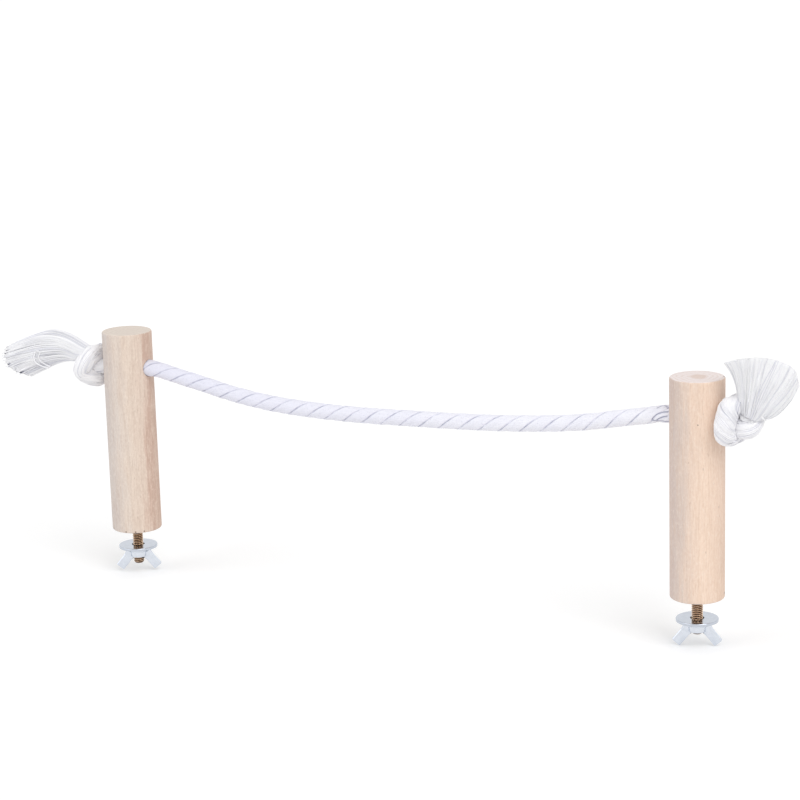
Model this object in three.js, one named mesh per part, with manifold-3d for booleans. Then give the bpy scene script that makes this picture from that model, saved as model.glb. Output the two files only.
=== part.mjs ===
// A parrot play stand: two turned wooden posts joined by a knotted cotton rope that sags between
// them. A hanger bolt, a washer and a wing nut under each post clamp it to the bars of a cage.
// Millimetres, +Z up, +X from the left post to the right post. The origin is on the left post's
// axis, in the plane of both feet.

import * as THREE from 'three';
import { mergeVertices } from 'three/addons/utils/BufferGeometryUtils.js';
import Module from 'manifold-3d';

const wasm = await Module();
wasm.setup();

// ---- Clearances ----

const seatGap = 0.3; // between faces that touch
const boltPlay = 0.3; // round the bolt, in the post's pilot hole and in the nut's thread
const washerPlay = 0.5; // round the bolt, in the washer's hole
const ropePlay = 0.6; // round the rope, in a post's cross hole

// ---- Posts ----

const postSpacing = 340; // from one post's axis to the other's
const postDiameter = 28;
const postHeight = 115;
const postEdgeRadius = 1;
const ropeDepth = 20.5; // from a post's top down to the axis of its cross hole

// ---- Rope ----

const ropeDiameter = 8.6;
const ropeSag = 15.8; // of the lowest point, under the line from hole to hole
const sagLead = 84; // how far from each post the rope reaches its full sag
const knottedDiameter = 6.6; // the rope where the knot draws it down
const knotTuck = 3; // how far inside its hole's outer mouth each knot begins
const knotTurns = { left: -60, right: 22 }; // degrees that each knot is turned about its hole
const knotDrop = { left: 4.5, right: 2 }; // how far each knot hangs below its hole's axis
const knotDropLead = 8; // the length of rope over which it comes down

// ---- Clamps ----

const boltDiameter = 6;
const boltLength = 45;
const boltReach = { left: 21, right: 19.6 }; // below the foot
const boltEndChamfer = 0.9;
const screwPointLength = 5;

const clampGap = { left: 10, right: 11.2 }; // from the foot to the washer, where each nut was left
const washerDiameter = 22;
const washerThickness = 1.5;
const washerEdgeRadius = 0.4;

const bossTopDiameter = 10.4;
const bossEndDiameter = 9;
const bossHeight = 5.5;
const bossChamfer = 0.5;
const wingSlope = 51; // degrees below level
const wingLength = 10.8; // from its root, inside the boss, to its tip
const wingWidth = 5;
const wingRootWidth = 6;
const wingFlare = 4; // the length over which the root narrows to the wing
const wingThickness = 2;
const wingEdgeRadius = 0.4;
const wingTipRadius = 1.7;
const wingRootInset = 1.1; // from the boss's wall in to the wing's root
const wingRootDrop = 3.2; // from the boss's top down to the middle of the wing's root
const nutTurns = { left: 28, right: 19 }; // degrees from the line between the posts

// ---- Tassels ----

const tasselRoot = 3.5; // half the width and thickness where the yarns leave the knot
const leftTassel = { halfWidth: 12, halfDepth: 7, spread: 0.7, rimDrop: 3 };
const rightTassel = { halfWidth: 20, halfDepth: 5.5, spread: 0.9, rimDrop: 11 };

// ---- Facets ----

const postSides = 64;
const holeSides = 32;
const boltSides = 24;
const washerSides = 48;
const ropeSides = 12;
const ropeStep = 8.5; // along the rope
const knotStep = 2.4; // along the knot
const gapStep = 0.25; // along the knot, where its gap to itself is measured
const tasselSides = 20;
const tasselSteps = 12;
const arcSteps = 4; // in each rounded edge

// ---- Places that follow from the sizes ----

const postRadius = postDiameter / 2;
const ropeHeight = postHeight - ropeDepth;
const postX = { left: 0, right: postSpacing };
const outward = { left: -1, right: 1 };

// ---- Finishes ----

const finishes = {
  leftWood: new THREE.MeshStandardMaterial({ color: 0xe2d2c5, roughness: 0.75, metalness: 0 }),
  rightWood: new THREE.MeshStandardMaterial({ color: 0xf0d6c5, roughness: 0.75, metalness: 0 }),
  cotton: new THREE.MeshStandardMaterial({ color: 0xf1f1fa, roughness: 0.95, metalness: 0 }),
  yellowZinc: new THREE.MeshStandardMaterial({ color: 0xa98b6f, roughness: 0.4, metalness: 1 }),
  brightZinc: new THREE.MeshStandardMaterial({ color: 0xd2d8e0, roughness: 0.25, metalness: 1 }),
};

// ---- Closed meshes, booleans and curves ----

// The geometry with only its positions, and its doubled vertices merged.
function closed(geometry) {
  geometry.deleteAttribute('normal');
  geometry.deleteAttribute('uv');
  return mergeVertices(geometry, 1e-4);
}

function toSolid(geometry) {
  const shell = closed(geometry);
  const vertProperties = new Float32Array(shell.attributes.position.array);
  const triVerts = new Uint32Array(shell.index.array);
  return new wasm.Manifold(new wasm.Mesh({ numProp: 3, vertProperties, triVerts }));
}

function toGeometry(solid) {
  const mesh = solid.getMesh();
  const geometry = new THREE.BufferGeometry();
  geometry.setAttribute('position', new THREE.BufferAttribute(mesh.vertProperties, 3));
  geometry.setIndex(new THREE.BufferAttribute(mesh.triVerts, 1));
  return geometry;
}

function smoothRoute(points) {
  return new THREE.CatmullRomCurve3(points, false, 'centripetal');
}

// A round tube along a route, with flat ends square to it.
function tube(points, diameter, sides, step) {
  const route = smoothRoute(points);
  const section = new THREE.Shape();
  for (let side = 0; side < sides; side += 1) {
    const angle = (2 * Math.PI * side) / sides;
    const x = (diameter / 2) * Math.cos(angle);
    const y = (diameter / 2) * Math.sin(angle);
    if (side === 0) section.moveTo(x, y);
    else section.lineTo(x, y);
  }
  const steps = Math.round(route.getLength() / step);
  return new THREE.ExtrudeGeometry(section, { steps, extrudePath: route, bevelEnabled: false });
}

// A solid of revolution about Z, from [radius, height] pairs that start and end on the axis.
function turned(profile, sides) {
  const points = profile.map(([radius, height]) => new THREE.Vector2(radius, height));
  return new THREE.LatheGeometry(points, sides).rotateX(Math.PI / 2);
}

// A quarter round on a profile, from one angle to another, in degrees.
function roundedCorner(radius, height, edge, fromAngle, toAngle) {
  const points = [];
  for (let step = 0; step <= arcSteps; step += 1) {
    const angle = THREE.MathUtils.degToRad(fromAngle + ((toAngle - fromAngle) * step) / arcSteps);
    points.push([radius + edge * Math.cos(angle), height + edge * Math.sin(angle)]);
  }
  return points;
}

// ---- Posts ----

// A turned peg with rounded rims, a cross hole for the rope and a blind pilot hole in its foot.
function postGeometry(side) {
  const rim = postRadius - postEdgeRadius;
  const peg = turned([
    [0, 0],
    ...roundedCorner(rim, postEdgeRadius, postEdgeRadius, -90, 0),
    ...roundedCorner(rim, postHeight - postEdgeRadius, postEdgeRadius, 0, 90),
    [0, postHeight],
  ], postSides);

  const holeRadius = ropeDiameter / 2 + ropePlay;
  const crossHole = new THREE.CylinderGeometry(holeRadius, holeRadius, 2 * postDiameter, holeSides)
    .rotateZ(Math.PI / 2)
    .translate(0, 0, ropeHeight);

  const pilotRadius = boltDiameter / 2 + boltPlay;
  const pilotDepth = boltLength - boltReach[side] + seatGap;
  const pilotHole = new THREE.CylinderGeometry(pilotRadius, pilotRadius, 2 * pilotDepth, holeSides)
    .rotateX(Math.PI / 2);

  return toGeometry(toSolid(peg).subtract(toSolid(crossHole)).subtract(toSolid(pilotHole)));
}

// ---- Clamps ----

// A headless stud with a chamfered bolt end and a pointed wood screw. Its end is at height 0.
function hangerBoltGeometry() {
  const radius = boltDiameter / 2;
  return turned([
    [0, 0],
    [radius - boltEndChamfer, 0],
    [radius, boltEndChamfer],
    [radius, boltLength - screwPointLength],
    [0, boltLength],
  ], boltSides);
}

// A flat ring whose outer rim is rounded on the side that was stamped, its top.
function washerGeometry() {
  const holeRadius = boltDiameter / 2 + washerPlay;
  const rim = washerDiameter / 2;
  return turned([
    [holeRadius, -washerThickness],
    [rim, -washerThickness],
    ...roundedCorner(rim - washerEdgeRadius, -washerEdgeRadius, washerEdgeRadius, 0, 90),
    [holeRadius, 0],
    [holeRadius, -washerThickness],
  ], washerSides);
}

// The flat outline of one wing, along +X from its root: a flared root and a round-cornered tip.
function wingOutline() {
  const half = wingWidth / 2;
  const corner = wingLength - wingTipRadius;
  const outline = new THREE.Shape();
  outline.moveTo(0, -wingRootWidth / 2);
  outline.quadraticCurveTo(wingFlare / 2, -half, wingFlare, -half);
  outline.absarc(corner, wingTipRadius - half, wingTipRadius, -Math.PI / 2, 0, false);
  outline.absarc(corner, half - wingTipRadius, wingTipRadius, 0, Math.PI / 2, false);
  outline.lineTo(wingFlare, half);
  outline.quadraticCurveTo(wingFlare / 2, half, 0, wingRootWidth / 2);
  return outline;
}

// One wing with rounded edges, sloping down and out from the boss, towards +X.
function wingGeometry() {
  const flat = wingThickness - 2 * wingEdgeRadius;
  const rootX = bossTopDiameter / 2 - wingRootInset;
  return new THREE.ExtrudeGeometry(wingOutline(), {
    depth: flat,
    curveSegments: arcSteps,
    bevelSize: wingEdgeRadius,
    bevelThickness: wingEdgeRadius,
    bevelOffset: -wingEdgeRadius,
    bevelSegments: 2,
  })
    .translate(0, 0, -flat / 2)
    .rotateX(Math.PI / 2)
    .rotateY(THREE.MathUtils.degToRad(wingSlope))
    .translate(rootX, 0, -wingRootDrop);
}

// A tapered boss with two wings, bored for the bolt. Its top face is at height 0.
function wingNutGeometry() {
  const top = bossTopDiameter / 2;
  const end = bossEndDiameter / 2;
  const boss = turned([
    [0, -bossHeight],
    [end - bossChamfer, -bossHeight],
    [end, bossChamfer - bossHeight],
    [top, -bossChamfer],
    [top - bossChamfer, 0],
    [0, 0],
  ], boltSides);
  const boreRadius = boltDiameter / 2 + boltPlay;
  const bore = new THREE.CylinderGeometry(boreRadius, boreRadius, 4 * bossHeight, boltSides)
    .rotateX(Math.PI / 2);
  let nut = toSolid(boss);
  for (const turn of [0, Math.PI]) {
    nut = nut.add(toSolid(wingGeometry().rotateZ(turn)));
  }
  return toGeometry(nut.subtract(toSolid(bore)));
}

// ---- Rope ----

// The free span, as [distance from a post's face, share of the full sag]. The rope leaves the left
// post steeply, hangs lowest left of the middle and comes up more gently at the right.
const sagFromLeft = [
  [0, 0], [3, 0.01], [9, 0.07], [20, 0.22], [35, 0.41], [52, 0.64], [68, 0.8],
  [sagLead, 0.91], [sagLead + 22, 0.98], [sagLead + 48, 1],
];
const sagFromRight = [
  [sagLead + 62, 0.95], [sagLead + 36, 0.9], [sagLead + 10, 0.82], [sagLead - 20, 0.66],
  [44, 0.49], [26, 0.27], [13, 0.12], [5, 0.02], [0, 0],
];

// Straight through the left hole, along the sag, and straight through the right hole.
function ropePoints() {
  const point = (x, share) => new THREE.Vector3(x, 0, ropeHeight - share * ropeSag);
  const leftFace = postX.left + postRadius;
  const rightFace = postX.right - postRadius;
  const end = postRadius - knotTuck - seatGap;
  return [
    point(postX.left - end, 0),
    point(postX.left, 0),
    ...sagFromLeft.map(([distance, share]) => point(leftFace + distance, share)),
    ...sagFromRight.map(([distance, share]) => point(rightFace - distance, share)),
    point(postX.right, 0),
    point(postX.right + end, 0),
  ];
}

// An overhand knot drawn up against a post, as [outward, across, up] from the mouth of its hole.
const knotRoute = [
  [-knotTuck, 0, 0], [-knotTuck / 2, 0, 0], [0, 0, 0],
  [2, -0.3, 0], [4.4, -1.7, -0.1], [7.6, -4.5, 0.2], [11.8, -5.6, -0.2],
  [16, -3.6, 0], [18.3, 0.4, 2], [18.2, 3.6, 5.6], [16.1, 4.5, 9.8], [12.5, 3.1, 12.9],
  [8.9, -0.3, 13.2], [6.7, -3.9, 11], [5.8, -7, 7.8], [4.8, -10, 4.4], [4.6, -11.2, 0],
  [5.5, -9.8, -4.2], [7.3, -6.4, -6.9], [9.5, -2, -6.7], [10.6, 1.3, -4], [10.3, 2.7, 0.5],
  [10.6, 1, 4.8], [13, -2.3, 6.9], [15.4, -4.6, 10],
];

// The knot's route on one side: turned about its hole, mirrored at the left, and lowered by its
// drop, which the rope takes up smoothly after the hole's mouth.
function knotPoints(side) {
  const turn = THREE.MathUtils.degToRad(knotTurns[side]);
  const mouth = knotRoute.findIndex(([out]) => out === 0);
  let travelled = 0;
  return knotRoute.map(([out, across, up], index) => {
    if (index > mouth) {
      const last = knotRoute[index - 1];
      travelled += Math.hypot(out - last[0], across - last[1], up - last[2]);
    }
    const drop = knotDrop[side] * THREE.MathUtils.smoothstep(travelled, 0, knotDropLead);
    return new THREE.Vector3(
      postX[side] + outward[side] * (postRadius + out),
      across * Math.cos(turn) - up * Math.sin(turn),
      ropeHeight + across * Math.sin(turn) + up * Math.cos(turn) - drop,
    );
  });
}

// The least gap between two stretches of a knot that lie at least two diameters apart along it.
function leastGap(side) {
  const route = smoothRoute(knotPoints(side));
  const places = route.getSpacedPoints(Math.round(route.getLength() / gapStep));
  const apart = Math.round((2 * knottedDiameter) / gapStep);
  let least = Infinity;
  for (let first = 0; first < places.length; first += 1) {
    for (let second = first + apart; second < places.length; second += 1) {
      least = Math.min(least, places[first].distanceTo(places[second]));
    }
  }
  return least - knottedDiameter;
}

// ---- Tassels ----

// The yarns' middle line from the knot's end, as [outward, across, up].
const tasselRoutes = {
  left: [[0, 0, 0], [1.6, 1, 0.6], [5.5, 1.5, -0.9], [10.5, 1.3, -0.8], [16, 1, 0.4], [21.5, 1, 1.2],
    [27.5, 0.5, 0.6], [35, -0.7, -1.9], [43, -1.6, -5.2], [51.5, -2, -8.8]],
  right: [[0, 0, 0], [1.6, -1.6, 1.8], [3.3, -2.2, 4.6], [5.8, -2.4, 9.6], [9, -2.4, 15.4],
    [12.2, -2.4, 21], [15.3, -2.4, 26.6]],
};

// A frayed end that widens from the knot to a rounded rim. A point at a share of the route and an
// angle round the section is the route's point, plus the half width along the section's wide
// direction, plus the half depth across it, less the rim's drop, which grows towards both edges.
// The half width grows with the share to the power of the tassel's spread.
function tasselGeometry(side, wideDirection, shape) {
  const knotRouteHere = smoothRoute(knotPoints(side));
  const leave = knotRouteHere.getTangentAt(1);
  const start = knotRouteHere.getPointAt(1).addScaledVector(leave, seatGap);
  const route = smoothRoute(tasselRoutes[side].map(([out, across, up]) => (
    new THREE.Vector3(outward[side] * out, across, up).add(start))));

  const positions = [];
  for (let step = 0; step <= tasselSteps; step += 1) {
    const share = step / tasselSteps;
    const along = route.getTangentAt(share);
    if (step === 0) along.copy(leave);
    const depthDirection = new THREE.Vector3().crossVectors(along, wideDirection).normalize();
    const width = new THREE.Vector3().crossVectors(depthDirection, along);
    const halfWidth = THREE.MathUtils.lerp(tasselRoot, shape.halfWidth, share ** shape.spread);
    const halfDepth = THREE.MathUtils.lerp(tasselRoot, shape.halfDepth, Math.sqrt(share));
    for (let spoke = 0; spoke < tasselSides; spoke += 1) {
      const angle = (2 * Math.PI * spoke) / tasselSides;
      const edge = Math.cos(angle);
      positions.push(route.getPointAt(share)
        .addScaledVector(width, halfWidth * edge)
        .addScaledVector(depthDirection, halfDepth * Math.sin(angle))
        .addScaledVector(along, -shape.rimDrop * share * edge * edge));
    }
  }
  positions.push(start, route.getPointAt(1));
  return capped(positions, tasselSides, tasselSteps);
}

// A closed mesh over rings of points, with the two last points as the middles of its ends.
function capped(points, sides, steps) {
  const index = [];
  const startMiddle = points.length - 2;
  const endMiddle = points.length - 1;
  for (let spoke = 0; spoke < sides; spoke += 1) {
    const next = (spoke + 1) % sides;
    for (let step = 0; step < steps; step += 1) {
      const a = step * sides + spoke;
      const b = step * sides + next;
      index.push(a, b, b + sides, a, b + sides, a + sides);
    }
    index.push(startMiddle, next, spoke);
    index.push(endMiddle, steps * sides + spoke, steps * sides + next);
  }
  const geometry = new THREE.BufferGeometry().setFromPoints(points);
  geometry.setIndex(index);
  return geometry;
}

// ---- The stand ----

const stand = new THREE.Group();

function addPart(name, geometry, material, parent = stand) {
  const mesh = new THREE.Mesh(geometry, material);
  mesh.name = name;
  parent.add(mesh);
  return mesh;
}

for (const side of ['left', 'right']) {
  const place = new THREE.Group();
  place.position.x = postX[side];
  stand.add(place);

  addPart(`${side}_post`, postGeometry(side), finishes[`${side}Wood`], place);
  const bolt = addPart(`${side}_hanger_bolt`, hangerBoltGeometry(), finishes.yellowZinc, place);
  bolt.position.z = -boltReach[side];
  const washer = addPart(`${side}_washer`, washerGeometry(), finishes.brightZinc, place);
  washer.position.z = -clampGap[side];
  const nut = addPart(`${side}_wing_nut`, wingNutGeometry(), finishes.brightZinc, place);
  nut.position.z = washer.position.z - washerThickness - seatGap;
  nut.rotation.z = THREE.MathUtils.degToRad(nutTurns[side]);

  const knot = tube(knotPoints(side), knottedDiameter, ropeSides, knotStep);
  addPart(`${side}_knot`, closed(knot), finishes.cotton);
  console.log(`${side} knot: least gap to itself ${leastGap(side).toFixed(2)} mm`);
}

addPart('rope', closed(tube(ropePoints(), ropeDiameter, ropeSides, ropeStep)), finishes.cotton);

const upright = new THREE.Vector3(0, 0, 1);
const acrossTheView = new THREE.Vector3(0.886, 0.464, 0);
addPart('left_tassel', tasselGeometry('left', upright, leftTassel), finishes.cotton);
addPart('right_tassel', tasselGeometry('right', acrossTheView, rightTassel), finishes.cotton);

export default stand;
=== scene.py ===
import math

import bmesh
import bpy
import numpy as np
from mathutils import Matrix, Vector


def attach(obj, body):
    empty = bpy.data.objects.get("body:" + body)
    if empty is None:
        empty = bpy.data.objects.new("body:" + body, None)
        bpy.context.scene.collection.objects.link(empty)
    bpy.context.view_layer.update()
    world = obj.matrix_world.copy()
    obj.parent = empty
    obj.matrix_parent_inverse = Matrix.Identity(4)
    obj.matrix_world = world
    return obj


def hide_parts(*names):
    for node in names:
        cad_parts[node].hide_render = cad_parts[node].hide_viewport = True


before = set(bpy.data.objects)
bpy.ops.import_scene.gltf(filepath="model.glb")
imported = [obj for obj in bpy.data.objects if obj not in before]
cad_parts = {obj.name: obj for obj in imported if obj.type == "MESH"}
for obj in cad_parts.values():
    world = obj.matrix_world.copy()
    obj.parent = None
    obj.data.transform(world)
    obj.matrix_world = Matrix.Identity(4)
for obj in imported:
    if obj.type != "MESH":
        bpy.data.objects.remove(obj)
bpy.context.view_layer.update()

# A parrot play stand: a laid cotton rope sags between two turned wooden posts, with an overhand
# knot and a frayed tassel outside each post. A hanger bolt, a washer and a wing nut under each
# post clamp it to cage bars. The drawing sizes are in millimetres and become metres in each mesh.

MM = 0.001
SIDES = ("left", "right")
SEAT_GAP = 0.3


def pair(left, right):
    return {"left": left, "right": right}


# ---- Sizes of the stand ----

POST_X = pair(0.0, 340.0)
OUTWARD = pair(-1.0, 1.0)
POST_RADIUS = 14.0
POST_HEIGHT = 115.0
POST_RIM = 1.0
ROPE_HEIGHT = 94.5
HOLE_RADIUS = 4.9
PILOT_RADIUS = 3.3
BOLT_RADIUS = 3.0
BOLT_LENGTH = 45.0
BOLT_REACH = pair(21.0, 19.6)
BOLT_CHAMFER = 0.9
POINT_LENGTH = 5
FINE_DEPTH, FINE_END = 0.6, 23.5
COARSE_DEPTH, COARSE_START, COARSE_PITCH = 0.75, 26, 2.4
WASHER_TOP = pair(-10.0, -11.2)
WASHER_RADIUS = 11.0
WASHER_HOLE = 3.5
WASHER_THICKNESS = 1.5
NUT_TOP = pair(-11.8, -13.0)
NUT_TURN = pair(28.0, 19.0)
NUT_BORE = 3.15
BOSS_PROFILE = [(NUT_BORE, -5.5), (3.9, -5.5), (4.25, -5.35), (4.5, -5.0), (4.62, -3.6),
                (4.75, -2.1), (5.1, -1.9), (5.2, -1.5), (5.2, -0.5), (5.05, -0.15), (4.7, 0.0),
                (3.5, 0.0), (NUT_BORE, -0.35)]
WING_ROOT = (4.1, -3.2)
WING_SLOPE = 51
WING_STRAIGHT, WING_CORNER = 10.25, 0.6

# ---- The rope ----

ROPE_SAG = 15.8
ROPE_RADIUS = 4.35
ROPE_SPOKES, STRANDS = 132, 3
LAY_LENGTH = pair(31.5, 37.5)
SAG_FROM_LEFT = [(0, 0), (3, 0.01), (9, 0.07), (20, 0.22), (35, 0.41), (52, 0.64), (68, 0.8),
                 (84, 0.91), (106, 0.98), (132, 1)]
SAG_FROM_RIGHT = [(146, 0.95), (120, 0.9), (94, 0.82), (64, 0.66), (44, 0.49), (26, 0.27),
                  (13, 0.12), (5, 0.02), (0, 0)]

# Edges of loosened strands by the right post, drawn in painted shadow, as (distance from the
# post, way up round the skin)

LOOSE_EDGES = [
    [(0, 0.9), (2.5, 0.7), (5.5, -0.2), (8.2, -2.0), (9.4, -3.4)],
    [(9.4, -3.4), (7.6, -4.0), (5, -4.4), (2, -4.5), (0, -4.2)],
    [(0.3, 2.9), (1.6, 4.2), (3.2, 4.9), (4.4, 4.8), (5.9, 3.6)],
    [(0.2, -1.2), (2.6, -1.7), (5, -2.7), (6.4, -3.5)],
]

# ---- The knots, as (outward, across, up) from the mouth of a post's hole, and the radius ----

KNOT_TUCK = 3.3
KNOT_SPOKES, KNOT_YARNS = 240, 40
KNOT_ROUTE = {
    "left": [(-3, 0, 0, 4.2), (-1.5, 0, 0, 4.2), (0, 0, 0, 4.3), (2, -0.2, -0.5, 4.5),
        (4.6, -0.6, -1.2, 4.7), (8, -1.2, -0.8, 4.9), (12, -1.6, -0.6, 5), (15.6, -0.6, -2, 5),
        (17.4, 2.6, -3.8, 4.9), (17, 6.8, -4.4, 4.8), (15, 10.2, -2.8, 4.8),
        (11.8, 11.6, 0.2, 4.8), (8.4, 10, 3.2, 4.9), (6.2, 6.4, 5, 5), (5.6, 2, 6, 5.1),
        (6.4, -2.4, 6.2, 5.2), (8.4, -6, 4.4, 5.3), (10.6, -8.2, 0.8, 5.4), (12, -8, -2.2, 5.3),
        (11, -6.4, -4.8, 5), (8.6, -4, -6.8, 5), (6.2, -0.6, -7.8, 4.9), (6.6, 3.6, -6.2, 4.8),
        (9.6, 6, -2, 4.9), (13, 6.4, 2.2, 5), (16, 6.6, 4.6, 5)],
    "right": [(-3, 0, 0, 4.2), (-1.5, 0, 0, 4.2), (0, 0, 0, 4.3), (2, -0.3, -0.2, 4.3),
        (4.4, -1.6, -0.8, 4.5), (7.8, -4, -2, 5), (11.2, -5.2, -2.8, 5.4), (14.6, -4.4, -2.4, 5.5),
        (16.2, 0, 0, 5), (16.2, 1.6, 4.4, 4.9), (14.6, 1, 8, 4.8), (11.8, -1.8, 9.9, 4.9),
        (8.7, -5.2, 9.2, 5.2), (6, -8.2, 7.2, 5.7), (4.9, -10.4, 2.8, 5.8),
        (4.4, -11.8, -1.6, 5.8), (4.8, -11.2, -5, 5.5), (5.4, -7.4, -7.2, 4.7),
        (6.6, -2.6, -7.8, 4.2), (8.6, 1.6, -6.8, 4.2), (10.4, 3.6, -3.8, 4.4),
        (11.4, 3.2, -0.4, 4.6), (12.4, 0.6, 1.4, 4.8), (13.8, -2.6, 2.2, 5), (15.2, -5, 4.6, 5.2)],
}
KNOT_WIND = {"left": [(0, 0), (0.3, -0.10), (0.6, -0.35), (0.8, -0.5), (1, -0.9)],
             "right": [(0, 0), (0.4, -0.20), (0.5, -0.5), (0.68, -1.35), (1, -1.9)]}

# ---- The tassels, as rows of (ahead or right, up) places from one edge to the other ----

TASSEL_NET = {
    "left": [
        [(-1, 2.0), (0, 1.2), (1, 0.2), (2.2, -1), (3.4, -2.2)],
        [(2.4, 4.6), (4.4, 1.9), (6.2, -1), (8, -3.5), (9.7, -5.6)],
        [(13.8, 9.9), (15.2, 6.0), (16.2, 1.9), (16.2, -2.2), (15.2, -6.2)],
        [(24.8, 11.6), (28.2, 6.4), (29.6, 0.9), (28.2, -4.3), (23.4, -8.6)],
        [(39.2, 7.3), (42.6, 2.6), (44, -2.6), (41.2, -8.2), (33, -13.1)],
        [(54.5, 0.8), (57.2, -2.7), (57.6, -7.1), (53.5, -13.5), (43, -17.8)],
    ],
    "right": [
        [(-2.6, -0.6), (-1.4, -1.4), (0, -2.2), (1.6, -3.0), (3.0, -3.8)],
        [(-5.2, 2.5), (-2.5, 1.1), (0.5, -0.2), (3.7, -1.8), (6.9, -3.2)],
        [(-6.2, 12), (-2.2, 11.1), (3, 9.4), (8.9, 5.9), (13.4, -0.4)],
        [(-9.3, 21.2), (-2.2, 21.7), (6.1, 20.3), (15.2, 15.3), (20.2, 7.2)],
        [(-14.1, 28.5), (-3.0, 31.0), (9.4, 30.9), (20.8, 26.0), (24.6, 16.4)],
    ],
}
TASSEL_AHEAD = pair((-1.0, 0.0, 0.0), (0.886, 0.464, 0.0))
TASSEL_NEAR = pair((0.0, -1.0, 0.0), (0.464, -0.886, 0.0))
TASSEL_LEAN = pair((0.0, 2.0), (-1.8, 2.2))
TASSEL_DEPTH = pair((3.6, 7.0), (2.8, 5.5))
TASSEL_SLANT = pair(0.0, 0.045)
TASSEL_RIDGES = pair(92, 184)
RIDGE_SPOKES, BUNDLE_RINGS, BUNDLE_LENGTH = 6, 46, 50.0
DOME_SCALES = (0.97, 0.85, 0.6, 0.3)

# Partings, as (place across, first and last share of the length, width, depth, painted shade)

TASSEL_PARTINGS = {
    "left": [(-0.90, 0.12, 0.62, 0.03, 0.3, 0.55), (-0.72, 0.40, 0.78, 0.05, 0.5, 1.1),
             (-0.58, 0.10, 0.42, 0.03, 0.3, 0.5), (-0.25, 0.60, 0.95, 0.03, 0.3, 0.5),
             (0.36, 0.22, 0.64, 0.26, 0.9, 0.24), (0.20, 0.26, 0.56, 0.03, 0.3, 0.8),
             (0.33, 0.24, 0.62, 0.03, 0.3, 0.8), (0.47, 0.28, 0.60, 0.03, 0.3, 0.8),
             (0.62, 0.24, 0.70, 0.03, 0.4, 0.7), (0.10, 0.66, 0.98, 0.03, 0.3, 0.5),
             (0.45, 0.70, 0.98, 0.03, 0.3, 0.5), (0.78, 0.56, 0.98, 0.03, 0.4, 0.5)],
    "right": [(-0.62, 0.22, 0.62, 0.03, 0.4, 0.3), (-0.36, 0.16, 0.50, 0.03, 0.4, 0.4),
              (-0.12, 0.14, 0.66, 0.03, 0.4, 0.4), (0.16, 0.12, 0.45, 0.03, 0.4, 0.4),
              (0.30, 0.40, 0.80, 0.03, 0.3, 0.3), (0.48, 0.14, 0.55, 0.03, 0.4, 0.3),
              (0.70, 0.18, 0.60, 0.03, 0.4, 0.25)],
}
# Painted shade in the tassels' yarn valleys and painted shadow between their tips are set here.
TASSEL_LINE_RARITY = pair(1.5, 2.0)
TASSEL_LINE_SHADE = pair(1.15, 0.55)
TASSEL_TIP_FADE = pair(30.0, 3.5)
TASSEL_TIP_SHADE = pair(2.0, 0.0)
TASSEL_RAGGED = pair(0.050, 0.010)
LOOSE_YARNS = 90
YARN_RADIUS, SINGLE_YARN_RADIUS = 0.27, 0.42
STRAY_YARNS = pair(90, 50)
SINGLE_YARN = {
    "left": [(25.4, 4.2, -10), (28.2, 6.0, -8), (30.6, 7.2, -5.8), (30.9, 7.9, -3.2),
             (29.6, 7.9, -1.0), (31.4, 8.3, 0.2), (33.4, 8.3, -2.6), (34.2, 7.9, -5.3),
             (33.0, 7.2, -7.6), (30.0, 6.0, -9.4), (26.2, 4.6, -10.6)],
    "right": [(1.0, 2.2, 2.4), (3.2, 3.0, 1.2), (5.4, 3.2, -0.6), (7.2, 2.8, -2.4),
              (8.6, 2.0, -2.2)],
}

# ---- The wood ----

RING_PITCH = 2.3
# The way across both posts as the front sees them; the painted shade on the wood runs along it.
ACROSS_POSTS = (0.886, 0.464, 0)


# ---- The camera ----

def add_object(name, data):
    thing = bpy.data.objects.new(name, data)
    bpy.context.scene.collection.objects.link(thing)
    return thing


def place_camera():
    """Looks from the front right and a little above, tilted by less than two degrees."""
    camera = add_object("camera", bpy.data.cameras.new("camera"))
    bpy.context.scene.camera = camera
    place = Vector((0.7506, -1.1028, 0.38155))
    aim = Vector((0.17237, 0.0, 0.08904))
    back = (place - aim).normalized()
    right = Vector((0, 0, 1)).cross(back).normalized()
    up = back.cross(right)
    tilt = math.radians(-1.66)
    tilted_right = right * math.cos(tilt) + up * math.sin(tilt)
    tilted_up = up * math.cos(tilt) - right * math.sin(tilt)
    turn = Matrix((tilted_right, tilted_up, back)).transposed().to_4x4()
    camera.matrix_world = Matrix.Translation(place) @ turn
    camera.data.lens = 108.08
    camera.data.sensor_width = 36.0
    camera.data.clip_start = 0.05
    camera.data.clip_end = 60.0


place_camera()


# ---- Meshes from grids ----

def shade_smooth(piece):
    count = len(piece.data.polygons)
    piece.data.polygons.foreach_set("use_smooth", np.ones(count, bool))


def finish_mesh(name, points, faces, uv=None, painted_shade_and_tone=None):
    """A smooth object from points in millimetres and faces, with one UV pair for each face corner
    and, for each point, how much painted shade it takes: 0 on a ridge, 1 in a valley and up to 2
    at a tip in painted shadow. On single yarns the same value is their own grey tone."""
    mesh = bpy.data.meshes.new(name)
    mesh.from_pydata((np.asarray(points, float) * MM).tolist(), [], faces)
    if uv is not None:
        layer = mesh.uv_layers.new(name="Along")
        layer.data.foreach_set("uv", np.asarray(uv, np.float32).ravel())
    if painted_shade_and_tone is not None:
        mark_painted_shade_and_tone(mesh, painted_shade_and_tone)
    mesh.update()
    piece = add_object(name, mesh)
    shade_smooth(piece)
    return piece


def mark_painted_shade_and_tone(mesh, depths):
    # The attribute carries painted shade, and on single yarns their own grey tone.
    layer = mesh.attributes.new("PaintedShadeAndTone", "FLOAT", "POINT")
    layer.data.foreach_set("value", np.asarray(depths, np.float32).ravel())


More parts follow.
